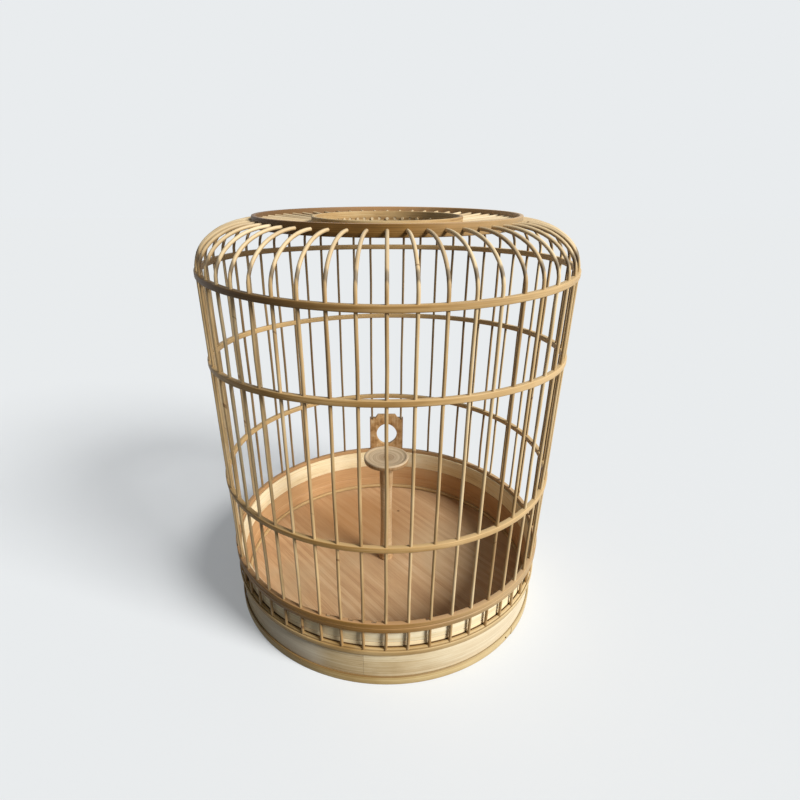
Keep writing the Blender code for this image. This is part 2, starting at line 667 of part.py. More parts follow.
def main():
    clear_scene()
    finishes = {
        "pale": make_material("pale_bamboo", (0.72, 0.62, 0.42), 0.45),
        "honey": make_material("honey_bamboo", (0.55, 0.37, 0.17), 0.4),
        "bar": make_material("bar_bamboo", (0.6, 0.44, 0.24), 0.4),
        "tan": make_material("tan_bamboo", (0.5, 0.35, 0.18), 0.5),
        "floor": make_material("floor_bamboo", (0.45, 0.27, 0.15), 0.55),
        "perch": make_material("perch_wood", (0.55, 0.4, 0.27), 0.6),
        "dark": make_material("dark_pin", (0.12, 0.08, 0.05), 0.5),
    }
    tray = make_body("tray")
    cage = make_body("cage", SILL_BASE, tray)
    gate = make_body("gate", BOTTOM_HOOP_TOP + GAP, cage)
    perch = make_body("perch", FLOOR_TOP + GAP, tray)
    build_tray(tray, finishes)
    build_cage(cage, finishes)
    build_gate(gate, finishes)
    build_perch(perch, finishes)


main()
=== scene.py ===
import math
import random

import bpy
from mathutils import Matrix, Vector


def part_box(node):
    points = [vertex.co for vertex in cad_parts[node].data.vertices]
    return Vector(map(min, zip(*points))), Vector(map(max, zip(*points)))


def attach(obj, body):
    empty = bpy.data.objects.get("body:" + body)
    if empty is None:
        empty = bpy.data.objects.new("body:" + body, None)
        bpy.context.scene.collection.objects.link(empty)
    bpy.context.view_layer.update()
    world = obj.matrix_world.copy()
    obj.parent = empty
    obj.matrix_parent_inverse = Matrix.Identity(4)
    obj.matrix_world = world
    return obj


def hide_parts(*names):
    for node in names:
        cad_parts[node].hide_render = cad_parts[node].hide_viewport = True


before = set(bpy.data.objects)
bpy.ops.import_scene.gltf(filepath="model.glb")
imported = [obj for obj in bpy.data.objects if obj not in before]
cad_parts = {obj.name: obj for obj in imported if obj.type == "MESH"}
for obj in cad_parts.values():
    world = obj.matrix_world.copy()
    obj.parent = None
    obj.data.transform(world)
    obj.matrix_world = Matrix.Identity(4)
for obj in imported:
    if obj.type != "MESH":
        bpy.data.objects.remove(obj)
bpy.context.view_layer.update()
print("frame loaded,", len(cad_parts), "nodes")

# Metres, +Z up the cage's axis, the camera side is -Y.
# Azimuth is measured from -Y towards +X, as in the part's source.
barCount = 52
pitch = 2 * math.pi / barCount


class Wire:
    # a socket that is used in sums like a number
    def __init__(self, graph, socket):
        self.graph = graph
        self.socket = socket

    def sum(self, operation, first, second=0.0):
        return self.graph.add("ShaderNodeMath", {"operation": operation}, {0: first, 1: second})

    def __add__(self, other):
        return self.sum("ADD", self, other)

    def __sub__(self, other):
        return self.sum("SUBTRACT", self, other)

    def __rsub__(self, other):
        return self.sum("SUBTRACT", other, self)

    def __mul__(self, other):
        return self.sum("MULTIPLY", self, other)

    def __truediv__(self, other):
        return self.sum("DIVIDE", self, other)

    def __pow__(self, other):
        return self.sum("POWER", self, other)

    def floor(self):
        return self.sum("FLOOR", self)

    def sine(self):
        return self.sum("SINE", self)

    def size(self):
        return self.sum("ABSOLUTE", self)

    def above(self, edge, softness):
        # 0 below the edge, 1 above it, with a soft step
        return self.graph.add("ShaderNodeMapRange", {"interpolation_type": "SMOOTHSTEP"},
                              {"Value": self, "From Min": edge - softness, "From Max": edge + softness})


class Graph:
    # the nodes of a material or of the world
    def __init__(self, tree):
        self.tree = tree

    def add(self, kind, settings, sockets, out=0):
        node = self.tree.nodes.new(kind)
        for key, value in settings.items():
            if key == "stops":
                self.setStops(node.color_ramp, value)
            else:
                setattr(node, key, value)
        for key, value in sockets.items():
            if isinstance(value, Wire):
                self.tree.links.new(value.socket, node.inputs[key])
            else:
                node.inputs[key].default_value = value
        return Wire(self, node.outputs[out])

    def setStops(self, ramp, stops):
        while len(ramp.elements) < len(stops):
            ramp.elements.new(0.5)
        for element, (place, color) in zip(ramp.elements, stops):
            element.position = place
            element.color = (*color, 1.0)

    def seen(self):
        # 1 for what the camera sees, straight or in a reflection, and 0 for light that falls on the object
        straight = self.add("ShaderNodeLightPath", {}, {}, "Is Camera Ray")
        rays = straight.socket.node.outputs
        return straight + Wire(self, rays["Is Glossy Ray"]) + Wire(self, rays["Is Transmission Ray"])


class Finish(Graph):
    # one material: its Principled shader and short ways to add nodes to it
    def __init__(self, name, roughness, gloss=0.22):
        self.material = bpy.data.materials.new(name)
        self.material.use_nodes = True
        super().__init__(self.material.node_tree)
        self.shader = self.tree.nodes["Principled BSDF"]
        self.shader.inputs["Roughness"].default_value = roughness
        self.shader.inputs["Specular IOR Level"].default_value = gloss
        self.object = self.add("ShaderNodeTexCoord", {}, {}, "Object")

    def put(self, wire, socket):
        self.tree.links.new(wire.socket, self.shader.inputs[socket])

    def axes(self, vector):
        split = self.add("ShaderNodeSeparateXYZ", {}, {0: vector})
        return [Wire(self, output) for output in split.socket.node.outputs]

    def vector(self, x, y, z):
        return self.add("ShaderNodeCombineXYZ", {}, {0: x, 1: y, 2: z})

    def noise(self, vector, scale=1.0, detail=3.0, roughness=0.55, distortion=0.0):
        return self.add("ShaderNodeTexNoise", {}, {"Vector": vector, "Scale": scale, "Detail": detail,
                                                   "Roughness": roughness, "Distortion": distortion})

    def ramp(self, factor, stops):
        return self.add("ShaderNodeValToRGB", {"stops": stops}, {0: factor})

    def wood(self, factor, tones, places):
        # from the dark tone to the light one
        stops = zip(places, ("dark", "middle", "light"))
        return self.ramp(factor, [(place, shade(tones[key])) for place, key in stops])

    def blend(self, factor, first, second):
        sockets = {0: factor, 6: first, 7: second}
        for key in (6, 7):
            if isinstance(sockets[key], tuple):
                sockets[key] = (*sockets[key], 1.0)
        return self.add("ShaderNodeMix", {"data_type": "RGBA"}, sockets, 2)

    def bump(self, height, distance, strength=1.0):
        sockets = {"Height": height, "Distance": distance, "Strength": strength}
        self.put(self.add("ShaderNodeBump", {}, sockets), "Normal")


def shade(hexColor):
    # a colour as a picture program shows it, such as "c8a878", turned into linear light
    levels = [int(hexColor[i:i + 2], 16) / 255 for i in (0, 2, 4)]
    return tuple(((c + 0.055) / 1.055) ** 2.4 if c > 0.04045 else c / 12.92 for c in levels)


def ringCoordinates(finish):
    # place on a ring: x and y, the height, the radius, and the azimuth counted in bars
    x, y, z = finish.axes(finish.object)
    radius = (x * x + y * y) ** 0.5
    halfTurn = {"Vector": finish.object, "Rotation": (0, 0, -pitch / 2)}
    turnedX, turnedY, _ = finish.axes(finish.add("ShaderNodeMapping", {}, halfTurn))
    around = turnedX.sum("ARCTAN2", turnedX, 0.0 - turnedY) / pitch
    return x, y, z, radius, around


# Tones of the bent strips: base band, hoops, bottom hoop and rim, ledge and collar, sill, foot,
# inner band and liner. A strip shows its "flesh" further in than the radii in "rind", of the hoops
# and of the rim, and its "paintedLight" tone, a painted light, on the cage's right. "notches" are azimuths in
# degrees.
stripTones = {
    "paleBamboo": {"dark": "a58a5e", "middle": "cbb48a", "light": "e8dbba", "roughness": 0.5,
                   "paintedLight": "efe7d2"},
    "honeyBamboo": {"dark": "74532a", "middle": "a9834c", "light": "d0ae7a", "roughness": 0.45,
                    "rind": (0.165, 0.2), "flesh": "c3a676", "paintedLight": "dcc59a"},
    "darkHoney": {"dark": "583d1d", "middle": "886430", "light": "ab824e", "roughness": 0.45,
                  "rind": (0.165, 0.1145), "flesh": "c29c76", "paintedLight": "d8c29a",
                  "notches": (-18.2, -10.8, -3.6, 13.0)},
    "tanBamboo": {"dark": "886540", "middle": "b49566", "light": "d2bd90", "roughness": 0.5},
    "goldBamboo": {"dark": "7c5d34", "middle": "a88856", "light": "cbb284", "roughness": 0.45,
                   "paintedLight": "e2d2ab"},
    "footBamboo": {"dark": "8d7040", "middle": "b2935c", "light": "d6bf8c", "roughness": 0.45,
                   "paintedLight": "e8d9ae"},
    "wallBamboo": {"dark": "8b6038", "middle": "b58a5c", "light": "d2b084", "roughness": 0.5,
                   "rind": (0.1601, 0.2), "flesh": "bd9265"},
    "creamLiner": {"dark": "d3ba8a", "middle": "f0dfb6", "light": "faf0d4", "roughness": 0.55},
}
stripStainsAndPaintedLight = {"speck": "6b4a28", "wallFace": "efddb4", "linerGapShade": "6b4f2e", "footEdge": "7a5c36",
               "topLeftShade": "432b13", "notch": "3d2714", "paintedSheen": "f6f0e0", "browning": "9a7a4c"}
# where those stains and the painted light and shade begin and end, in metres, or in bars for an azimuth
stripPlaces = {"rimOutside": 0.13, "wallFace": 0.16, "linerGapShade": 0.0446, "footEdge": 0.0088,
               "topBase": 0.33, "topLeftShade": -0.04, "paintedLightSide": 0.06,
               "notchBase": 0.069, "notchTop": 0.09, "notchFace": 0.1632, "notchHalf": 0.1,
               "sheenStart": -7.5, "sheenEnd": -3.6, "seamShadeStart": -3.3, "seamShadeEnd": -1.53, "seamShadeBase": 0.012}


def stripFinish(name):
    # bamboo strip bent round the axis: fibres run round the ring
    tone = stripTones[name]
    marks = {key: shade(value) for key, value in stripStainsAndPaintedLight.items()}
    place = stripPlaces
    finish = Finish(name, tone["roughness"], gloss=0.14)
    x, y, z, radius, around = ringCoordinates(finish)
    across = z + radius
    fibres = finish.noise(finish.vector(x * 14, y * 14, across * 1500), detail=5, roughness=0.62)
    veins = finish.noise(finish.vector(x * 5, y * 5, across * 420), detail=2)
    patches = finish.noise(finish.vector(x * 22, y * 22, across * 60), detail=4)
    grain = fibres * 0.45 + veins * 0.3 + patches * 0.35
    color = finish.wood(grain, tone, (0.36, 0.52, 0.7))
    specks = finish.noise(finish.vector(x * 60, y * 60, across * 2200), detail=1).above(0.7, 0.03)
    color = finish.blend(specks * 0.35, color, marks["speck"])
    if "rind" in tone:
        # the outer hoops' rind and, further in, that of the rim
        hoopEdge, rimEdge = tone["rind"]
        rimRind = radius.above(rimEdge, 0.0001) * (1 - radius.above(place["rimOutside"], 0.001))
        rind = radius.above(hoopEdge, 0.0002) + rimRind
        flesh = finish.blend(grain.above(0.5, 0.16) * 0.45, shade(tone["flesh"]), shade(tone["light"]))
        color = finish.blend((1 - rind) * 0.8, color, flesh)
    if name == "wallBamboo":
        # the outer face is cream where it stands free behind the bars' feet; below the liner, down at the
        # sill, it is painted dark as painted shade in the gap
        outside = radius.above(place["wallFace"], 0.0001)
        color = finish.blend(outside * 0.9, color, marks["wallFace"])
        color = finish.blend(outside * (1 - z.above(place["linerGapShade"], 0.0003)), color, marks["linerGapShade"])
    if name == "footBamboo":
        # the strip's upper edge is browner
        color = finish.blend(z.above(place["footEdge"], 0.0004) * 0.8, color, marks["footEdge"])
    if name in ("honeyBamboo", "darkHoney"):
        # the shoulder hoop and the rim are painted darker on the left, as painted shade on the side away from
        # the lamp
        dark = z.above(place["topBase"], 0.01) * (1 - x.above(place["topLeftShade"], 0.08))
        color = finish.blend(dark * 0.75, color, marks["topLeftShade"])
    # every ring is painted paler on the cage's right: painted light where the lamp falls on it
    if "paintedLight" in tone:
        litRightSide = x.above(place["paintedLightSide"], 0.07)
        color = finish.blend(litRightSide * 0.4, color, shade(tone["paintedLight"]))
    if "notches" in tone:
        # the inside of each notch in the bottom hoop's inner edge is painted dark, as painted shade in the
        # recess
        level = (1 - z.above(place["notchTop"], 0.001)) * z.above(place["notchBase"], 0.0005)
        edge = level * (1 - radius.above(place["notchFace"], 0.0003))
        for degrees in tone["notches"]:
            away = (around + 0.5 - math.radians(degrees) / pitch).size()
            notch = edge * (1 - away.above(place["notchHalf"], 0.02))
            color = finish.blend(notch * 0.85, color, marks["notch"])
    if name == "paleBamboo":
        # the front left is painted paler, a painted sheen where the lamp leaves the band dim, and a browner
        # patch on the left of the seam is painted shade beside the lapped end
        paintedSheen = around.above(place["sheenStart"], 1.5) * (1 - around.above(place["sheenEnd"], 0.6))
        color = finish.blend(paintedSheen * 0.45, color, marks["paintedSheen"])
        # painted shade beside the seam's lapped end, broken up into patches
        browning = around.above(place["seamShadeStart"], 0.6) * (1 - around.above(place["seamShadeEnd"], 0.03))
        browning = browning * z.above(place["seamShadeBase"], 0.01) * patches.above(0.5, 0.1)
        color = finish.blend(browning * 0.45, color, marks["browning"])
    finish.put(color, "Base Color")
    finish.put(fibres * 0.25 + (tone["roughness"] - 0.12), "Roughness")
    finish.bump(fibres * 0.7 + veins * 0.5, 0.00018, 0.55)
    return finish.material


plankTones = {"dark": "936d42", "middle": "c79f6c", "light": "e0c59a", "edge": "6e4a28", "roughness": 0.5,
              "plateBase": 0.04, "wornSide": 0.01, "wornEdge": 0.0216}


def plankFinish():
    # straight pieces: fibres run up the sliding plate and along the battens
    finish = Finish("tanPlank", plankTones["roughness"])
    x, y, z = finish.axes(finish.object)
    onPlate = z.above(plankTones["plateBase"], 0.001)
    alongX = x * (onPlate * 880 + 20)
    alongZ = z * (900 - onPlate * 870)
    fibres = finish.noise(finish.vector(alongX, y * 900, alongZ), detail=5, roughness=0.62)
    clouds = finish.noise(finish.object, scale=130, detail=3, distortion=0.3)
    color = finish.wood(fibres * 0.4 + clouds * 0.6, plankTones, (0.36, 0.5, 0.66))
    # the plate is browner to the right and along both side edges
    edges = x.size().above(plankTones["wornEdge"], 0.0012)
    browning = x.above(plankTones["wornSide"], 0.009) * 0.32 + edges * 0.5
    color = finish.blend(browning * onPlate, color, shade(plankTones["edge"]))
    finish.put(color, "Base Color")
    finish.put(fibres * 0.25 + 0.38, "Roughness")
    finish.bump(fibres, 0.00018, 0.5)
    return finish.material


# "inside" is painted shade, on the bars' inner side and under their bend
barTones = {"dark": "94744a", "middle": "c8ab7c", "light": "e8d5ae", "knot": "6a4526", "inside": "5c4a35",
            "archHighlight": "eadcbc", "foot": "94703f", "roughness": 0.45}
# radii and heights where a bar's tone changes; the bend is a quarter of an ellipse
barPlaces = {"innerFace": 0.1624, "innerEnd": 0.159, "upperPart": 0.33, "footTop": 0.066,
             "bendRadius": 0.1148, "bendHeight": 0.3493, "bendReach": 0.0482, "bendRise": 0.0342,
             "bendEnd": 0.116, "archBase": 0.362}


def barFinish():
    # drawn round bars: every bar has its own tone, and its fibres run along it
    place = barPlaces
    finish = Finish("barBamboo", barTones["roughness"])
    _, _, z, radius, around = ringCoordinates(finish)
    along = z - radius
    ownNumber = around.floor()
    ownTone = finish.add("ShaderNodeTexWhiteNoise", {"noise_dimensions": "1D"}, {"W": ownNumber}, "Value")
    fibres = finish.noise(finish.vector(around * 26, along * 9, ownNumber), detail=4, roughness=0.65)
    clouds = finish.noise(finish.vector(around * 2, along * 22, ownNumber * 3.7), detail=3)
    grain = fibres * 0.42 + clouds * 0.34 + ownTone * 0.2
    color = finish.wood(grain, barTones, (0.3, 0.48, 0.68))
    # a bar is painted darker and greyer on the side that faces the cage's axis, as painted shade, more so up
    # high
    inside = (1 - radius.above(place["innerFace"], 0.0006)) * radius.above(place["innerEnd"], 0.001)
    grey = z.above(place["upperPart"], 0.03) * 0.35 + 0.55
    color = finish.blend(inside * grey, color, shade(barTones["inside"]))
    # the underside of the bend is painted dark as well, as painted shade under it
    outwards = (radius - place["bendRadius"]) / place["bendReach"]
    upwards = (z - place["bendHeight"]) / place["bendRise"]
    bend = (outwards ** 2 + upwards ** 2) ** 0.5
    inBend = z.above(place["bendHeight"], 0.001) * radius.above(place["bendEnd"], 0.001)
    underBendShade = (1 - bend.above(0.973, 0.008)) * inBend
    color = finish.blend(underBendShade * 0.9, color, shade(barTones["inside"]))
    # the bend's outer face is painted paler, a painted highlight where the lamp falls on it
    archHighlight = bend.above(1.0, 0.012) * z.above(place["archBase"], 0.012)
    color = finish.blend(archHighlight * 0.3, color, shade(barTones["archHighlight"]))
    # below the bottom hoop the bars are browner
    color = finish.blend((1 - z.above(place["footTop"], 0.002)) * 0.6, color, shade(barTones["foot"]))
    knotPlace = finish.noise(finish.vector(ownNumber * 9.1, along * 150, ownTone), detail=0)
    color = finish.blend(knotPlace.above(0.83, 0.015) * 0.7, color, shade(barTones["knot"]))
    finish.put(color, "Base Color")
    finish.put(fibres * 0.25 + 0.34, "Roughness")
    finish.bump(fibres, 0.00015, 0.5)
    return finish.material


floorTones = {"dark": "a87f59", "middle": "c9a47b", "light": "dcc09a", "red": "a8743f", "grey": "bfa987",
              "knot": "553820", "stripWidth": 0.0045, "turn": math.radians(-39), "roughness": 0.62,
              "redPlace": (-0.035, 0.075), "knotPlace": (0.0164, 0.0951)}


def floorFinish():
    # parallel strips across the round floor, each with its own tone
    finish = Finish("floorBamboo", floorTones["roughness"])
    turn = {"Vector": finish.object, "Rotation": (0, 0, floorTones["turn"])}
    x, y, _ = finish.axes(finish.add("ShaderNodeMapping", {}, turn))
    strip = (x / floorTones["stripWidth"] + 0.5).floor()
    ownTone = finish.add("ShaderNodeTexWhiteNoise", {"noise_dimensions": "1D"}, {"W": strip}, "Value")
    fibres = finish.noise(finish.vector(x * 1600, y * 22, strip), detail=5, roughness=0.65)
    clouds = finish.noise(finish.vector(x * 30, y * 12, 0.0), detail=4)
    grain = fibres * 0.52 + clouds * 0.33 + ownTone * 0.13
    color = finish.wood(grain, floorTones, (0.28, 0.5, 0.7))
    marks = finish.noise(finish.object, scale=7, detail=3, distortion=0.4)
    color = finish.blend((1 - marks).above(0.55, 0.08) * 0.4, color, shade(floorTones["grey"]))
    # one redder stain at the back left, and one small dark knot at the back
    floorX, floorY, _ = finish.axes(finish.object)

    def away(place):
        return ((floorX - place[0]) ** 2 + (floorY - place[1]) ** 2) ** 0.5

    red = 1 - (away(floorTones["redPlace"]) + marks * 0.05).above(0.09, 0.05)
    color = finish.blend(red * 0.6, color, shade(floorTones["red"]))
    knot = 1 - away(floorTones["knotPlace"]).above(0.0017, 0.0007)
    color = finish.blend(knot * 0.8, color, shade(floorTones["knot"]))
    finish.put(color, "Base Color")
    finish.put(fibres * 0.2 + 0.5, "Roughness")
    finish.bump(fibres, 0.0002, 0.6)
    return finish.material


perchTones = {"dark": "8d6a44", "middle": "bd996e", "light": "d6bf9b", "disc": "d6c2a2", "heart": "85603c",
              "roughness": 0.58, "topBase": 0.1482, "rim": 0.0188, "middleEnd": 0.0085, "heartEnd": 0.0029}


def perchFinish():
    # turned wood: rings on the disc, long grain and fine tool rings on the post
    finish = Finish("perchWood", perchTones["roughness"])
    x, y, z, radius, _ = ringCoordinates(finish)
    turning = finish.noise(finish.vector(radius * 1300, z * 900, 0.0), detail=2)
    grain = finish.noise(finish.vector(x * 520, y * 120, z * 28), detail=5, roughness=0.6)
    rings = ((radius * 3100).sine() * 0.5 + 0.5) * 0.16
    color = finish.wood(grain * 0.55 + turning * 0.3 + rings, perchTones, (0.3, 0.5, 0.72))
    # the disc is greyer, with tool rings, a brown middle and a dark heart
    toolRings = finish.noise(finish.vector(radius * 1100, x * 25, y * 25), detail=2).above(0.5, 0.16)
    disc = finish.blend(toolRings * 0.45, shade(perchTones["disc"]), shade(perchTones["dark"]))
    rim = radius.above(perchTones["rim"], 0.001)
    disc = finish.blend(rim * 0.4, disc, shade(perchTones["light"]))
    for edge, softness, strength in (("middleEnd", 0.0025, 0.4), ("heartEnd", 0.0006, 0.7)):
        within = 1 - radius.above(perchTones[edge], softness)
        disc = finish.blend(within * strength, disc, shade(perchTones["heart"]))
    color = finish.blend(z.above(perchTones["topBase"], 0.0002) * 0.85, color, disc)
    finish.put(color, "Base Color")
    finish.put(grain * 0.2 + 0.48, "Roughness")
    finish.bump(turning * 0.6 + grain * 0.4, 0.0002, 0.5)
    return finish.material


pinTones = {"dark": "2b1c10", "light": "5a3d24", "roughness": 0.6}


def pinFinish():
    finish = Finish("darkPin", pinTones["roughness"])
    speckle = finish.noise(finish.object, scale=1800, detail=2)
    stops = [(0.3, shade(pinTones["dark"])), (0.7, shade(pinTones["light"]))]
    finish.put(finish.ramp(speckle, stops), "Base Color")
    finish.bump(speckle, 0.0001, 0.4)
    return finish.material


materials = {name: stripFinish(name) for name in stripTones}
materials["barBamboo"] = barFinish()
materials["tanPlank"] = plankFinish()
materials["floorBamboo"] = floorFinish()
materials["perchWood"] = perchFinish()
materials["darkPin"] = pinFinish()
print("finishes made")


def letGo():
    if bpy.context.object and bpy.context.object.mode != "OBJECT":
        bpy.ops.object.mode_set(mode="OBJECT")
    bpy.ops.object.select_all(action="DESELECT")


def takeUp(piece):
    letGo()
    piece.select_set(True)
    bpy.context.view_layer.objects.active = piece


def beginEdit(piece, domain="VERT"):
    takeUp(piece)
    bpy.ops.object.mode_set(mode="EDIT")
    bpy.ops.mesh.select_mode(type=domain)


def pickNone(piece):
    bpy.ops.object.mode_set(mode="OBJECT")
    for group in (piece.data.polygons, piece.data.edges, piece.data.vertices):
        for part in group:
            part.select = False


def pick(piece, wanted):
    # selects the vertices that a test picks, and leaves the piece in edit mode
    pickNone(piece)
    for vertex in piece.data.vertices:
        vertex.select = bool(wanted(vertex.co))
    bpy.ops.object.mode_set(mode="EDIT")


def pickFaces(piece, wanted):
    pickNone(piece)
    for polygon in piece.data.polygons:
        polygon.select = bool(wanted(polygon))
    bpy.ops.object.mode_set(mode="EDIT")


def pull(piece, wanted, move, reach, falloff="SMOOTH", connected=False):
    # moves the picked vertices, and those within reach of them the less the further off they are
    beginEdit(piece)
    pick(piece, wanted)
    bpy.ops.transform.translate(value=move, use_proportional_edit=True,
                                proportional_edit_falloff=falloff, proportional_size=reach,
                                use_proportional_connected=connected)
    bpy.ops.object.mode_set(mode="OBJECT")


def closeUp():
    bpy.ops.mesh.select_all(action="SELECT")
    bpy.ops.mesh.remove_doubles(threshold=0.000002)
    bpy.ops.mesh.normals_make_consistent(inside=False)
    bpy.ops.object.mode_set(mode="OBJECT")


def settle(piece, body, finish, nodes, smoothAngle=35):
    # gives the finished piece its material and its place in the frame
    takeUp(piece)
    bpy.ops.object.transform_apply(location=True, rotation=True, scale=True)
    bpy.ops.object.shade_smooth_by_angle(angle=math.radians(smoothAngle))
    piece.data.materials.clear()
    piece.data.materials.append(materials[finish])
    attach(piece, body)
    if nodes:
        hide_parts(*nodes)
    return piece


def addSection(name, inner, outer, base, top, rounding):
    # the cross-section of a ring, upright on the +X side, with rounded corners
    letGo()
    middle = ((inner + outer) / 2, 0, (base + top) / 2)
    bpy.ops.mesh.primitive_plane_add(size=1, location=middle, rotation=(math.pi / 2, 0, 0))
    piece = bpy.context.object
    piece.name = name
    piece.data.name = name
    piece.scale = (outer - inner, top - base, 1)
    bpy.ops.object.transform_apply(location=True, rotation=True, scale=True)
    beginEdit(piece)
    bpy.ops.mesh.select_all(action="SELECT")
    bpy.ops.mesh.bevel(offset=rounding, segments=3, affect="VERTICES")
    bpy.ops.mesh.select_all(action="SELECT")
    bpy.ops.mesh.delete(type="ONLY_FACE")
    return piece


def cutGroove(piece, height, width, depth, outward):
    # splits the section's edges at three heights and pushes the middle ones in
    for level in (height - width / 2, height, height + width / 2):
        bpy.ops.mesh.select_all(action="SELECT")
        bpy.ops.mesh.bisect(plane_co=(0, 0, level), plane_no=(0, 0, 1))
    bpy.ops.object.mode_set(mode="OBJECT")
    radii = [vertex.co.x for vertex in piece.data.vertices]
    edgeRadius = max(radii) if outward else min(radii)
    bpy.ops.object.mode_set(mode="EDIT")
    pick(piece, lambda co: abs(co.z - height) < 1e-6 and abs(co.x - edgeRadius) < 1e-6)
    bpy.ops.transform.translate(value=(-depth if outward else depth, 0, 0))


ringSteps = 208


def spinSection(angle):
    bpy.ops.mesh.select_all(action="SELECT")
    bpy.ops.mesh.spin(steps=ringSteps, angle=angle, center=(0, 0, 0), axis=(0, 0, 1))


def addRing(name, inner, outer, base, top, rounding, groove=None):
    # groove: (height, width, depth, outward)
    piece = addSection(name, inner, outer, base, top, rounding)
    if groove:
        cutGroove(piece, *groove)
    spinSection(2 * math.pi)
    closeUp()
    return piece


# the open gap at a strip's seam, and the angle over which its lapped end comes in
seamSizes = {"opening": 0.00018, "reach": math.radians(28)}


def addBentStrip(name, inner, outer, base, top, rounding, seam, lap, lapAtStart):
    # a strip bent round to meet itself at a seam, where one end runs in under the other
    piece = addSection(name, inner, outer, base, top, rounding)
    opening = seamSizes["opening"] / outer
    spinSection(2 * math.pi - opening)
    bpy.ops.mesh.select_all(action="SELECT")
    bpy.ops.mesh.fill_holes(sides=0)
    closeUp()
    # the inner face is hidden while the outer face of one end is pulled in
    middle = (inner + outer) / 2
    endLow, endHigh = (-1e-6, 1e-6) if lapAtStart else (-outer * opening * 1.5, -outer * opening * 0.5)
    beginEdit(piece)
    pick(piece, lambda co: math.hypot(co.x, co.y) < middle)
    bpy.ops.mesh.hide()
    pull(piece, lambda co: co.x > middle and endLow < co.y < endHigh, (-lap, 0, 0),
         outer * seamSizes["reach"], "SHARP", True)
    beginEdit(piece)
    bpy.ops.mesh.reveal(select=False)
    bpy.ops.object.mode_set(mode="OBJECT")
    turnAbout(piece, seam - math.pi / 2)
    return piece


def copyPiece(piece, name):
    twin = piece.copy()
    twin.data = piece.data.copy()
    twin.name = name
    twin.data.name = name
    bpy.context.scene.collection.objects.link(twin)
    return twin


def joinPieces(pieces, name):
    letGo()
    for piece in pieces:
        piece.select_set(True)
    bpy.context.view_layer.objects.active = pieces[0]
    bpy.ops.object.join()
    pieces[0].name = name
    pieces[0].data.name = name
    return pieces[0]


def cutWith(piece, cutter, operation="DIFFERENCE"):
    boolean = piece.modifiers.new("cut", "BOOLEAN")
    boolean.operation = operation
    boolean.solver = "EXACT"
    boolean.object = cutter
    takeUp(piece)
    bpy.ops.object.modifier_apply(modifier=boolean.name)
    bpy.data.objects.remove(cutter, do_unlink=True)


def turnAbout(piece, azimuth):
    # turns a copy round the cage's axis, mesh and all
    takeUp(piece)
    piece.rotation_euler = (0, 0, azimuth)
    bpy.ops.object.transform_apply(location=False, rotation=True, scale=False)


traySizes = {
    "band": {"inner": 0.1606, "outer": 0.1628, "base": 0.0, "top": 0.0372, "rounding": 0.0005},
    "bandSeam": {"seam": math.radians(-7.1), "lap": 0.00035, "lapAtStart": False},
    "foot": {"inner": 0.1631, "outer": 0.165, "base": 0.0, "top": 0.0095, "rounding": 0.0006},
    "footSeam": {"seam": math.radians(50.6), "lap": 0.0004, "lapAtStart": True},
    "innerBand": {"inner": 0.158, "outer": 0.1603, "base": 0.005, "top": 0.0485, "rounding": 0.0005},
    "innerGroove": (0.0305, 0.0014, 0.0006, False),
    "ledge": {"inner": 0.152, "outer": 0.1577, "base": 0.005, "top": 0.0107, "rounding": 0.0006},
    "bead": {"inner": 0.1549, "outer": 0.1577, "base": 0.0153, "top": 0.0193, "rounding": 0.0009},
    "pin": {"azimuth": 6.76 * pitch, "radius": 0.0009, "proud": 0.0004},
    "battenEdge": 0.0008,
}


def makeFootPin():
    # a small peg with a domed head through the end of the foot strip
    foot, s = traySizes["foot"], traySizes["pin"]
    letGo()
    depth = foot["outer"] - foot["inner"]
    bpy.ops.mesh.primitive_cylinder_add(vertices=20, radius=s["radius"], depth=depth,
                                        rotation=(math.pi / 2, 0, 0),
                                        location=(0, -foot["inner"] - depth / 2, foot["top"] / 2))
    pin = bpy.context.object
    pin.name = "footPin"
    bpy.ops.object.transform_apply(location=True, rotation=True, scale=False)
    beginEdit(pin, "FACE")
    pickFaces(pin, lambda polygon: polygon.normal.y < -0.9)
    bpy.ops.mesh.extrude_region_move(TRANSFORM_OT_translate={"value": (0, -s["proud"] * 0.6, 0)})
    bpy.ops.mesh.inset(thickness=s["radius"] * 0.4)
    bpy.ops.transform.translate(value=(0, -s["proud"] * 0.4, 0))
    closeUp()
    turnAbout(pin, s["azimuth"])
    settle(pin, "tray", "darkPin", ["foot_pin"])


def makeBattens():
    # two flat battens under the floor, with eased edges
    for name, node in (("battenFront", "floor_batten_front"), ("battenBack", "floor_batten_back")):
        low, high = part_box(node)
        letGo()
        bpy.ops.mesh.primitive_cube_add(size=1, location=(low + high) / 2)
        batten = bpy.context.object
        batten.name = name
        batten.scale = high - low
        bpy.ops.object.transform_apply(location=True, rotation=True, scale=True)
        beginEdit(batten, "EDGE")
        bpy.ops.mesh.select_all(action="SELECT")
        bpy.ops.mesh.bevel(offset=traySizes["battenEdge"], segments=2)
        closeUp()
        settle(batten, "tray", "tanPlank", [node])


def makeTray():
    s = traySizes
    band = addBentStrip("baseBand", **s["band"], **s["bandSeam"])
    settle(band, "tray", "paleBamboo", ["base_band"])
    foot = addBentStrip("footRing", **s["foot"], **s["footSeam"])
    settle(foot, "tray", "footBamboo", ["foot_ring"])
    inner = addRing("innerBand", **s["innerBand"], groove=s["innerGroove"])
    settle(inner, "tray", "wallBamboo", ["inner_band"])
    ledge = addRing("floorLedge", **s["ledge"])
    settle(ledge, "tray", "tanBamboo", ["floor_ledge"])
    bead = addRing("floorBead", **s["bead"])
    settle(bead, "tray", "tanBamboo", ["floor_bead"])
    makeFootPin()
    makeBattens()


floorSizes = {"radius": 0.1577, "base": 0.011, "top": 0.015, "pegHole": 0.0044, "length": 0.33,
              "strip": floorTones["stripWidth"], "grooveWidth": 0.0003, "turn": -floorTones["turn"],
              "cutDepth": 0.05}


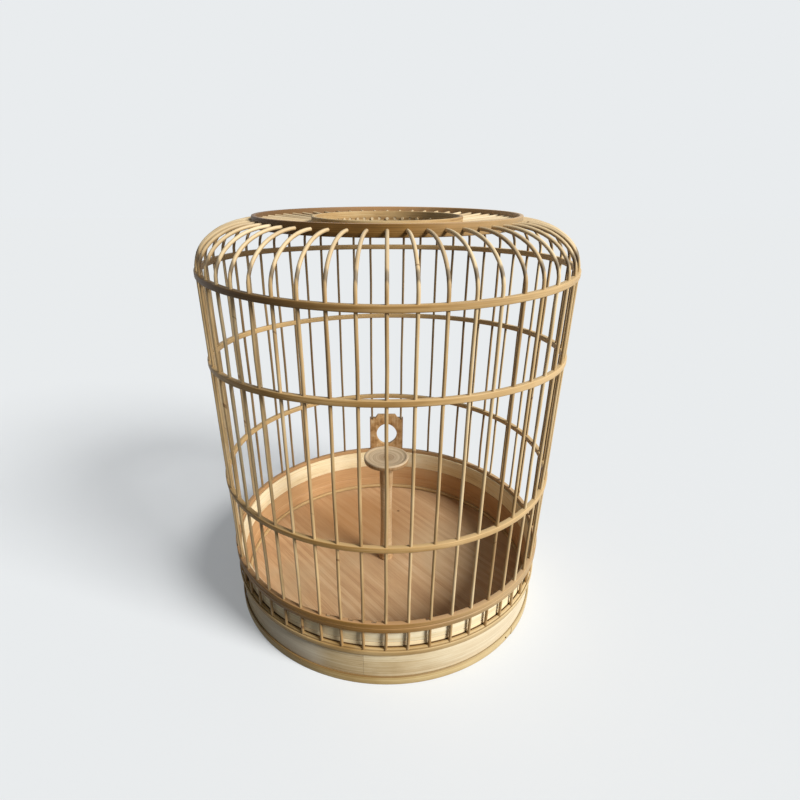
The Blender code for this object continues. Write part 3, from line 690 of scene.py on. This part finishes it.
def makeFloor():
    # one strip is modelled, set side by side into a board, and the board is cut round
    s = floorSizes
    count = 2 * math.ceil(s["radius"] / s["strip"]) + 1
    thickness = s["top"] - s["base"]
    letGo()
    firstStrip = -(count - 1) / 2 * s["strip"]
    bpy.ops.mesh.primitive_cube_add(size=1, location=(firstStrip, 0, s["base"] + thickness / 2))
    board = bpy.context.object
    board.name = "floorBoard"
    board.scale = (s["strip"], s["length"], thickness)
    bpy.ops.object.transform_apply(location=True, rotation=True, scale=True)
    beginEdit(board, "FACE")
    pickFaces(board, lambda polygon: abs(polygon.normal.x) > 0.9)
    bpy.ops.mesh.delete(type="ONLY_FACE")
    bpy.ops.mesh.select_mode(type="EDGE")
    pick(board, lambda co: co.z > s["top"] - 1e-6)
    bpy.ops.mesh.select_mode(type="FACE")
    bpy.ops.mesh.extrude_region_move(TRANSFORM_OT_translate={"value": (0, 0, s["grooveWidth"])})
    bpy.ops.transform.resize(value=(1 - 2 * s["grooveWidth"] / s["strip"], 1, 1))
    bpy.ops.object.mode_set(mode="OBJECT")
    row = board.modifiers.new("row", "ARRAY")
    row.count = count
    row.use_relative_offset = False
    row.use_constant_offset = True
    row.constant_offset_displace = (s["strip"], 0, 0)
    row.use_merge_vertices = True
    row.merge_threshold = 0.00001
    bpy.ops.object.modifier_apply(modifier=row.name)
    beginEdit(board, "EDGE")
    bpy.ops.mesh.select_all(action="SELECT")
    bpy.ops.mesh.fill_holes(sides=0)
    bpy.ops.transform.translate(value=(0, 0, -s["grooveWidth"]))
    closeUp()
    turnAbout(board, s["turn"])
    for sides, radius, operation in ((ringSteps, s["radius"], "INTERSECT"), (32, s["pegHole"], "DIFFERENCE")):
        letGo()
        bpy.ops.mesh.primitive_cylinder_add(vertices=sides, radius=radius, depth=s["cutDepth"],
                                            location=(0, 0, s["base"]))
        cutWith(board, bpy.context.object, operation)
    settle(board, "tray", "floorBamboo", ["floor_board"], 20)


makeTray()
makeFloor()
print("tray made")


hoopSizes = {
    "inner": 0.1606, "outer": 0.1654, "height": 0.005, "bottomBase": 0.065, "bottomHeight": 0.01,
    "lowerBase": 0.1515, "middleBase": 0.2675, "shoulderBase": 0.3421,
    "middleLean": math.radians(2.94), "middleRoll": math.radians(0.5), "shoulderWarp": 0.0022,
    "bottomRounding": 0.0005, "rounding": 0.0007, "grooveWidth": 0.0012, "grooveDepth": 0.0007,
    "barCircle": 0.163, "hole": 0.00155, "bottomOverrun": 0.002, "overrun": 0.012,
    "notchWide": 0.0036, "notchDeep": 0.0022, "notchCut": 0.006,
}


def addDrills(depth, place, tilt):
    # one cutter, with a drill for each bar
    letGo()
    bpy.ops.mesh.primitive_cylinder_add(vertices=12, radius=hoopSizes["hole"], depth=depth,
                                        rotation=(tilt, 0, 0), location=place)
    drill = bpy.context.object
    bpy.ops.object.transform_apply(location=True, rotation=True, scale=False)
    drills = [drill]
    for number in range(1, barCount):
        twin = copyPiece(drill, "drill")
        turnAbout(twin, number * pitch)
        drills.append(twin)
    return joinPieces(drills, "drills")


def addUprightDrills(base, top):
    return addDrills(top - base, (0, -hoopSizes["barCircle"], (base + top) / 2), 0)


def addLevelDrills(inner, outer, height):
    return addDrills(outer - inner, (0, -(inner + outer) / 2, height), math.pi / 2)


def leanHoop(hoop, height):
    # the middle hoop sits higher at the front than at the back, and a little higher at the right
    beginEdit(hoop)
    bpy.ops.mesh.select_all(action="SELECT")
    for axis, angle in (("X", hoopSizes["middleLean"]), ("Y", hoopSizes["middleRoll"])):
        bpy.ops.transform.rotate(value=angle, orient_axis=axis, center_override=(0, 0, height))
    bpy.ops.object.mode_set(mode="OBJECT")


def warpHoop(hoop):
    # the shoulder hoop sags at the front and back and rises at the sides
    reach = hoopSizes["outer"] * math.sqrt(2)
    warp = hoopSizes["shoulderWarp"]
    for side in (-1, 1):
        pull(hoop, lambda co: abs(co.x) < 0.0001 and co.y * side > 0, (0, 0, -warp), reach)
        pull(hoop, lambda co: abs(co.y) < 0.0001 and co.x * side > 0, (0, 0, warp), reach)


def makeHoops():
    s = hoopSizes
    base, top = s["bottomBase"], s["bottomBase"] + s["bottomHeight"]
    groove = (base + s["bottomHeight"] / 2, s["grooveWidth"], s["grooveDepth"], True)
    bottom = addRing("bottomHoop", s["inner"], s["outer"], base, top, s["bottomRounding"], groove)
    cutWith(bottom, addUprightDrills(base - s["bottomOverrun"], top + s["bottomOverrun"]))
    for degrees in stripTones["darkHoney"]["notches"]:
        azimuth = math.radians(degrees)
        x, y = math.sin(azimuth) * s["inner"], -math.cos(azimuth) * s["inner"]
        letGo()
        bpy.ops.mesh.primitive_cube_add(size=1, location=(x, y, top), rotation=(0, 0, azimuth))
        bpy.context.object.scale = (s["notchWide"], s["notchDeep"] * 2, s["notchCut"])
        cutWith(bottom, bpy.context.object)
    settle(bottom, "cage", "darkHoney", ["bottom_hoop"])
    for name, node, level in (("lowerHoop", "lower_hoop", s["lowerBase"]),
                              ("middleHoop", "middle_hoop", s["middleBase"]),
                              ("shoulderHoop", "shoulder_hoop", s["shoulderBase"])):
        hoop = addRing(name, s["inner"], s["outer"], level, level + s["height"], s["rounding"])
        if name == "middleHoop":
            leanHoop(hoop, level + s["height"] / 2)
        if name == "shoulderHoop":
            warpHoop(hoop)
        cutWith(hoop, addUprightDrills(level - s["overrun"], level + s["height"] + s["overrun"]))
        settle(hoop, "cage", "honeyBamboo", [node])


makeHoops()
print("hoops made")


barSizes = {
    "circle": hoopSizes["barCircle"], "thickness": 0.0028, "sides": 12, "foot": 0.043,
    "bendStart": 0.3493, "rise": 0.0342, "rimOuter": 0.1148, "rimInner": 0.1113, "collarOuter": 0.0652,
    "proudEnd": 0.0608, "flushEnd": 0.0625, "spokeDrop": 0.0038, "shortTop": 0.0744, "upperBase": 0.1521,
    "straightSteps": 19, "bendSteps": 14, "bow": 0.00045, "seed": 52,
    # heights at which the sill and the hoops hold a bar
    "held": (0.043, 0.07, 0.154, 0.27, 0.3446),
}


def barPath(endRadius):
    # radius and height along a bar's centre line
    s = barSizes
    steps = s["straightSteps"]
    straight = s["bendStart"] - s["foot"]
    path = [(s["circle"], s["foot"] + straight * i / steps) for i in range(steps + 1)]
    reach = s["circle"] - s["rimOuter"]
    for i in range(1, s["bendSteps"] + 1):
        angle = math.pi / 2 * i / s["bendSteps"]
        path.append((s["rimOuter"] + reach * math.cos(angle), s["bendStart"] + s["rise"] * math.sin(angle)))
    top = s["bendStart"] + s["rise"]
    low = top - s["spokeDrop"]
    return path + [(s["rimInner"], top), (s["collarOuter"], low), (endRadius, low)]


def drawBar(name, endRadius):
    # a round bar at the front of the cage, drawn out step by step and turned over at the shoulder
    s = barSizes
    path = barPath(endRadius)
    letGo()
    bpy.ops.mesh.primitive_circle_add(vertices=s["sides"], radius=s["thickness"] / 2, fill_type="NGON",
                                      location=(0, -path[0][0], path[0][1]))
    bar = bpy.context.object
    bar.name = name
    bpy.ops.object.transform_apply(location=True, rotation=False, scale=False)
    beginEdit(bar)
    bpy.ops.mesh.select_all(action="SELECT")
    headings = [math.atan2(low[0] - high[0], high[1] - low[1]) for low, high in zip(path, path[1:])]
    headings.append(headings[-1])
    lean = 0.0
    for i in range(1, len(path)):
        (fromRadius, fromHeight), (toRadius, toHeight) = path[i - 1], path[i]
        move = (0, fromRadius - toRadius, toHeight - fromHeight)
        bpy.ops.mesh.extrude_region_move(TRANSFORM_OT_translate={"value": move})
        wanted = (headings[i - 1] + headings[i]) / 2
        if abs(wanted - lean) > 1e-6:
            bpy.ops.transform.rotate(value=wanted - lean, orient_axis="X",
                                     center_override=(0, -toRadius, toHeight))
        lean = wanted
    closeUp()
    return bar


def bowBar(bar, chance):
    # a bar never runs dead straight between two hoops
    step = (barSizes["bendStart"] - barSizes["foot"]) / barSizes["straightSteps"]
    for low, high in zip(barSizes["held"], barSizes["held"][1:]):
        sideways = chance.uniform(-1, 1) * barSizes["bow"]
        outwards = chance.uniform(-1, 1) * barSizes["bow"]
        middle = barSizes["foot"] + step * round(((low + high) / 2 - barSizes["foot"]) / step)
        pull(bar, lambda co: abs(co.z - middle) < step / 2, (sideways, outwards, 0), (high - low) / 2)


def trimBar(bar, level, keepAbove):
    beginEdit(bar)
    bpy.ops.mesh.select_all(action="SELECT")
    bpy.ops.mesh.bisect(plane_co=(0, 0, level), plane_no=(0, 0, 1), use_fill=True,
                        clear_inner=keepAbove, clear_outer=not keepAbove)
    bpy.ops.object.mode_set(mode="OBJECT")


def makeBars():
    chance = random.Random(barSizes["seed"])
    # every second bar ends a little proud of the collar's inner face
    proudBlank = drawBar("proudBlank", barSizes["proudEnd"])
    flushBlank = drawBar("flushBlank", barSizes["flushEnd"])
    for number in range(0, barCount, 2):
        pair = []
        for bar in (number, number + 1):
            twin = copyPiece(flushBlank if bar % 2 else proudBlank, f"bar{bar:02d}")
            bowBar(twin, chance)
            if bar == barCount // 2:
                upper = copyPiece(twin, "gateUpperBar")
                trimBar(upper, barSizes["upperBase"], True)
                turnAbout(upper, bar * pitch)
                settle(upper, "cage", "barBamboo", ["gate_upper_bar"])
                trimBar(twin, barSizes["shortTop"], False)
            turnAbout(twin, bar * pitch)
            pair.append(twin)
        name = f"{number // 2 + 1:02d}"
        joined = joinPieces(pair, "barPair" + name)
        settle(joined, "cage", "barBamboo", ["bar_pair_" + name])
    for blank in (proudBlank, flushBlank):
        bpy.data.objects.remove(blank, do_unlink=True)


makeBars()
print("bars made")


ringSizes = {
    "rail": {"inner": 0.161, "outer": 0.1636, "base": 0.0375, "top": 0.044, "rounding": 0.0006},
    "bead": {"inner": 0.1639, "outer": 0.1654, "base": 0.0375, "top": 0.0425, "rounding": 0.0007},
    "liner": {"inner": 0.1583, "outer": 0.1603, "base": 0.0488, "top": 0.071, "rounding": 0.0004},
    "rim": {"inner": barSizes["rimInner"], "outer": barSizes["rimOuter"], "base": 0.379, "top": 0.388,
            "rounding": 0.0007},
    "collar": {"inner": 0.0622, "outer": barSizes["collarOuter"], "base": 0.376, "top": 0.3864,
               "rounding": 0.0006},
    "overrun": 0.002,
}


def drillRing(ring, size, height):
    overrun = ringSizes["overrun"]
    cutWith(ring, addLevelDrills(size["inner"] - overrun, size["outer"] + overrun, height))


def makeRings():
    s = ringSizes
    barTop = barSizes["bendStart"] + barSizes["rise"]
    rail = addRing("sillRail", **s["rail"])
    settle(rail, "cage", "goldBamboo", [])
    bead = addRing("sillBead", **s["bead"])
    settle(bead, "cage", "goldBamboo", ["sill_bead"])
    liner = addRing("sandLiner", **s["liner"])
    settle(liner, "cage", "creamLiner", ["sand_liner"])
    rim = addRing("topRim", **s["rim"])
    drillRing(rim, s["rim"], barTop)
    settle(rim, "cage", "darkHoney", ["top_rim"])
    collar = addRing("topCollar", **s["collar"])
    drillRing(collar, s["collar"], barTop - barSizes["spokeDrop"])
    settle(collar, "cage", "tanBamboo", ["top_collar"])


makeRings()
print("rings made")


plateSizes = {
    "middle": 0.1618, "thickness": 0.005, "halfWidth": 0.0226, "base": 0.0753, "shoulder": 0.1228,
    "top": 0.1274, "stepBase": 0.0298, "stepTop": 0.0238, "edge": 0.0005,
    # the hole, how it is stretched, and how far it comes to a point on one side
    "hole": 0.0142, "holeHeight": 0.0985, "holeCut": 0.02, "holeShape": (0.95, 1, 1.08), "holePoint": 0.06,
    # the radius and the depth of the bars' channels, and of the notches at their upper ends
    "channel": (0.0023, 0.07), "notch": (0.0029, 0.004),
}


def makePlate():
    s = plateSizes
    letGo()
    bpy.ops.mesh.primitive_cube_add(size=1, location=(0, s["middle"], (s["base"] + s["shoulder"]) / 2))
    plate = bpy.context.object
    plate.name = "gatePlate"
    plate.scale = (2 * s["halfWidth"], s["thickness"], s["shoulder"] - s["base"])
    bpy.ops.object.transform_apply(location=True, rotation=True, scale=True)
    beginEdit(plate)
    for side in (-1, 1):
        bpy.ops.mesh.select_all(action="SELECT")
        bpy.ops.mesh.bisect(plane_co=(side * s["stepBase"] / 2, 0, 0), plane_no=(1, 0, 0))
    bpy.ops.mesh.select_mode(type="FACE")
    pickFaces(plate, lambda polygon: polygon.normal.z > 0.9 and abs(polygon.center.x) < s["stepBase"] / 2)
    bpy.ops.mesh.extrude_region_move(TRANSFORM_OT_translate={"value": (0, 0, s["top"] - s["shoulder"])})
    bpy.ops.transform.resize(value=(s["stepTop"] / s["stepBase"], 1, 1))
    closeUp()
    letGo()
    holePlace = (0, s["middle"], s["holeHeight"])
    bpy.ops.mesh.primitive_cylinder_add(vertices=64, radius=s["hole"], depth=s["holeCut"],
                                        rotation=(math.pi / 2, 0, 0), location=holePlace)
    hole = bpy.context.object
    bpy.ops.object.transform_apply(location=True, rotation=True, scale=True)
    beginEdit(hole)
    bpy.ops.mesh.select_all(action="SELECT")
    bpy.ops.transform.resize(value=s["holeShape"], center_override=holePlace)
    bpy.ops.object.mode_set(mode="OBJECT")
    pointStart = s["hole"] * s["holeShape"][0] - 0.0001
    pull(hole, lambda co: co.x > pointStart, (s["hole"] * s["holePoint"], 0, 0), s["hole"])
    cutWith(plate, hole)
    # a bar runs through each side, and the channel opens out to a notch at the shoulder
    for side in (-1, 1):
        x, y = side * barSizes["circle"] * math.sin(pitch), barSizes["circle"] * math.cos(pitch)
        for (radius, depth), height in ((s["channel"], s["holeHeight"]), (s["notch"], s["shoulder"])):
            letGo()
            bpy.ops.mesh.primitive_cylinder_add(vertices=24, radius=radius, depth=depth,
                                                location=(x, y, height))
            cutWith(plate, bpy.context.object)
    bevel = plate.modifiers.new("edge", "BEVEL")
    bevel.width = s["edge"]
    bevel.segments = 2
    bevel.limit_method = "ANGLE"
    bevel.angle_limit = math.radians(40)
    takeUp(plate)
    bpy.ops.object.modifier_apply(modifier=bevel.name)
    settle(plate, "gate", "tanPlank", ["gate_plate"])


perchSizes = {
    "sides": 64,
    # radius and height up the turned post, from its peg to its tenon
    "post": ((0.0034, 0.0073), (0.004, 0.0079), (0.004, 0.0151), (0.0078, 0.0153), (0.0081, 0.0158),
             (0.0079, 0.0176), (0.0074, 0.021), (0.00695, 0.028), (0.00665, 0.038), (0.0064, 0.052),
             (0.0063, 0.068), (0.0063, 0.084), (0.0064, 0.098), (0.00655, 0.107), (0.00625, 0.1095),
             (0.0066, 0.1115), (0.0071, 0.118), (0.0072, 0.126), (0.0071, 0.134), (0.0066, 0.1405),
             (0.0058, 0.1439), (0.0026, 0.1439), (0.0026, 0.1482)),
    # radius and height round the disc, from under its middle to its dished top
    "disc": ((0.0029, 0.1442), (0.012, 0.1442), (0.0186, 0.1436), (0.0224, 0.1437), (0.0234, 0.1443),
             (0.0238, 0.1455), (0.0238, 0.1492), (0.0234, 0.1498), (0.0226, 0.15), (0.0214, 0.1499),
             (0.0206, 0.1493), (0.0196, 0.1489), (0.0184, 0.1487), (0.0178, 0.1488), (0.0172, 0.1486),
             (0.0122, 0.1485), (0.0116, 0.1486), (0.011, 0.1485), (0.0029, 0.1485)),
}


def turnOnLathe(name, outline):
    # circles drawn up one after another, as wood is turned
    letGo()
    radius, height = outline[0]
    bpy.ops.mesh.primitive_circle_add(vertices=perchSizes["sides"], radius=radius, location=(0, 0, height))
    piece = bpy.context.object
    piece.name = name
    bpy.ops.object.transform_apply(location=True, rotation=False, scale=False)
    beginEdit(piece, "EDGE")
    bpy.ops.mesh.select_all(action="SELECT")
    for (oldRadius, oldHeight), (newRadius, newHeight) in zip(outline, outline[1:]):
        bpy.ops.mesh.extrude_region_move(TRANSFORM_OT_translate={"value": (0, 0, newHeight - oldHeight)})
        growth = newRadius / oldRadius
        bpy.ops.transform.resize(value=(growth, growth, 1), center_override=(0, 0, newHeight))
    return piece


def makePerch():
    post = turnOnLathe("perchPost", perchSizes["post"])
    bpy.ops.mesh.select_all(action="SELECT")
    bpy.ops.mesh.fill_holes(sides=0)
    closeUp()
    settle(post, "perch", "perchWood", ["perch_post"])
    outline = perchSizes["disc"]
    disc = turnOnLathe("perchDisc", outline)
    pick(disc, lambda co: math.hypot(co.x, co.y) < outline[0][0] + 0.0001)
    bpy.ops.mesh.select_mode(type="EDGE")
    bpy.ops.mesh.bridge_edge_loops()
    closeUp()
    settle(disc, "perch", "perchWood", ["perch_disc"], 50)


makePlate()
makePerch()
print("plate and perch made")


viewSizes = {"place": (0, -0.4929, 0.4158), "tilt": 62.93, "turn": 0.35, "roll": 0.03, "lens": 23.55,
             "shift": (0.0206, 0.0555)}


def setCamera():
    letGo()
    bpy.ops.object.camera_add(location=viewSizes["place"])
    camera = bpy.context.object
    camera.data.lens = viewSizes["lens"]
    camera.data.shift_x, camera.data.shift_y = viewSizes["shift"]
    camera.data.clip_start = 0.01
    turn, tilt, roll = (Matrix.Rotation(math.radians(viewSizes[key]), 3, axis)
                        for key, axis in (("turn", "Z"), ("tilt", "X"), ("roll", "Z")))
    camera.rotation_euler = (turn @ tilt @ roll).to_euler()
    bpy.context.scene.camera = camera


lightSizes = {"azimuth": math.radians(57), "height": math.radians(35), "softness": math.radians(23),
              "strength": 4.8, "keyColor": (1.0, 0.98, 0.955), "sky": 0.13, "skyColor": (0.95, 0.97, 1.0),
              "backdrop": "e9ecee", "floor": "e9edf0", "glow": 0.27, "bounce": "6c6a68"}


def setLight():
    bpy.ops.object.light_add(type="SUN", location=(0, 0, 1.5))
    key = bpy.context.object
    key.name = "keyLamp"
    azimuth, height = lightSizes["azimuth"], lightSizes["height"]
    level = math.cos(height)
    towards = Vector((math.sin(azimuth) * level, -math.cos(azimuth) * level, math.sin(height)))
    key.rotation_euler = towards.to_track_quat("Z", "Y").to_euler()
    key.data.energy = lightSizes["strength"]
    key.data.angle = lightSizes["softness"]
    key.data.color = lightSizes["keyColor"]
    world = bpy.data.worlds.new("studio")
    bpy.context.scene.world = world
    world.use_nodes = True
    studio = Graph(world.node_tree)
    # the backdrop that is seen is as pale as the floor, and the sky that lights the cage is dimmer
    skySockets = {"Color": (*lightSizes["skyColor"], 1), "Strength": lightSizes["sky"]}
    sky = studio.add("ShaderNodeBackground", {}, skySockets)
    backdrop = studio.add("ShaderNodeBackground", {}, {"Color": (*shade(lightSizes["backdrop"]), 1)})
    mix = studio.add("ShaderNodeMixShader", {}, {0: studio.seen(), 1: sky, 2: backdrop})
    studio.tree.links.new(mix.socket, studio.tree.nodes["World Output"].inputs["Surface"])
    bpy.context.scene.view_settings.view_transform = "Standard"


def setFloor():
    letGo()
    bpy.ops.mesh.primitive_plane_add(size=12, location=(0, 0, 0))
    floor = bpy.context.object
    floor.name = "studioFloor"
    paper = Finish("studioPaper", 0.9, gloss=0.0)
    paper.shader.inputs["Base Color"].default_value = (*shade(lightSizes["floor"]), 1)
    # the object gets less light back from the paper than the camera sees on it
    dim = paper.add("ShaderNodeBsdfDiffuse", {}, {"Color": (*shade(lightSizes["bounce"]), 1)})
    # a part of what the camera sees of the paper is its own light, so that the shadow stays pale
    glow = paper.add("ShaderNodeEmission", {}, {"Color": (*shade(lightSizes["floor"]), 1)})
    surface = Wire(paper, paper.shader.outputs[0])
    lit = paper.add("ShaderNodeMixShader", {}, {0: lightSizes["glow"], 1: surface, 2: glow})
    mix = paper.add("ShaderNodeMixShader", {}, {0: paper.seen(), 1: dim, 2: lit})
    paper.tree.links.new(mix.socket, paper.tree.nodes["Material Output"].inputs["Surface"])
    floor.data.materials.append(paper.material)


setCamera()
setLight()
setFloor()
